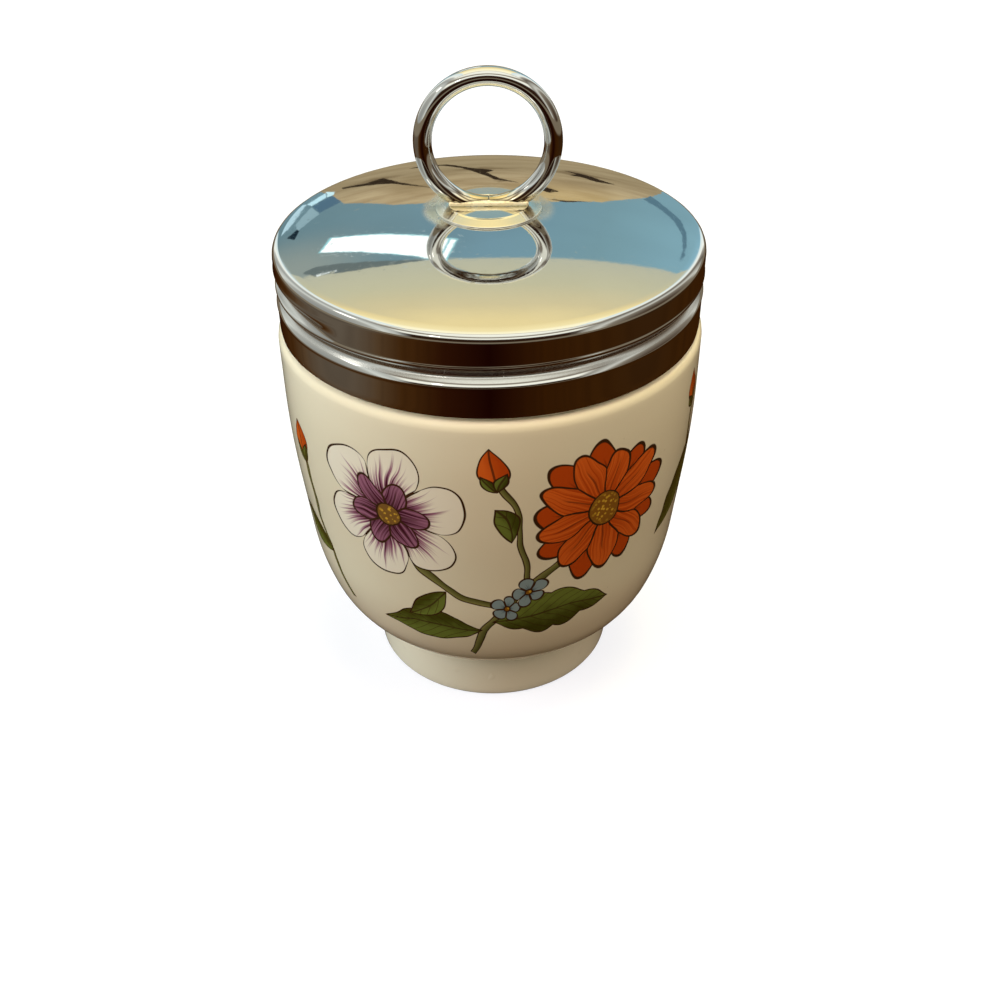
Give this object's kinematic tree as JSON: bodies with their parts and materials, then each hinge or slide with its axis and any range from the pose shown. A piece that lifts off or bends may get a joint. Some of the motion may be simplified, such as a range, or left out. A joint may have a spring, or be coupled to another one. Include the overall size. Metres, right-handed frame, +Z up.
{
  "type": "egg coddler",
  "caption": "Round glazed porcelain cup on a foot ring, with a shallow domed metal screw cap and an upright ring handle.",
  "frame": {"origin": "middle of the foot, on the surface that the cup stands on", "axes": "+Z up along the cup's axis; the ring handle lies in the XZ plane, with its open faces towards -Y and +Y when the lid is closed"},
  "size_m": [0.063, 0.063, 0.0971],
  "materials": {
    "porcelain": "cream glaze with a painted flower spray",
    "cap_metal": "polished plate",
    "handle_metal": "polished plate",
    "rivet_metal": "plain"
  },
  "bodies": {
    "cup": {"porcelain_cup": "porcelain"},
    "lid_riser": {"handle_rivet": "rivet_metal"},
    "lid": {"lid_shell": "cap_metal", "handle_collar": "handle_metal", "ring_handle": "handle_metal"}
  },
  "joints": [
    {"name": "lid_rise", "type": "slide", "parent": "cup", "child": "lid_riser", "axis": [0, 0, 1], "range_m": [0, 0.0144]},
    {"name": "lid_turn", "type": "hinge", "parent": "lid_riser", "child": "lid", "pos_m": [0, 0, 0.07], "axis": [0, 0, 1], "range_deg": [0, 2160]}
  ],
  "couplings": [
    {"joint": "lid_rise", "follows": "lid_turn", "m_per_rad": 0.00038197}
  ]
}
